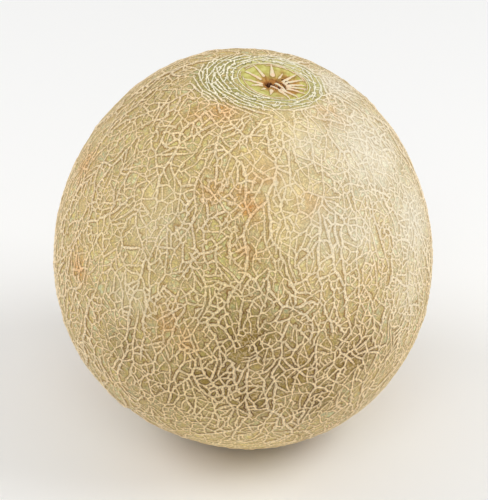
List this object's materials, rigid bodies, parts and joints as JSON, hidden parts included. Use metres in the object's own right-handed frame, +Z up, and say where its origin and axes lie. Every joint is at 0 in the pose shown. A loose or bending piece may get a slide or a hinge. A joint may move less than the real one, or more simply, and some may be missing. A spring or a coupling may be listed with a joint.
{
  "type": "netted melon",
  "caption": "Whole netted melon: a nearly round fruit with a raised corky net over its green rind and a starred stem scar, resting on a small flat spot.",
  "frame": {"origin": "on the surface the fruit rests on, under the middle of its box", "axes": "+Z up from the flat spot, the stem end leaning a little towards +X, and the viewer of the picture on the -Y side"},
  "size_m": [0.1488, 0.1486, 0.1554],
  "materials": {
    "rind": "matte green-tan rind under a raised cream-coloured cork net"
  },
  "bodies": {
    "root": {"melon": "rind"}
  },
  "joints": []
}
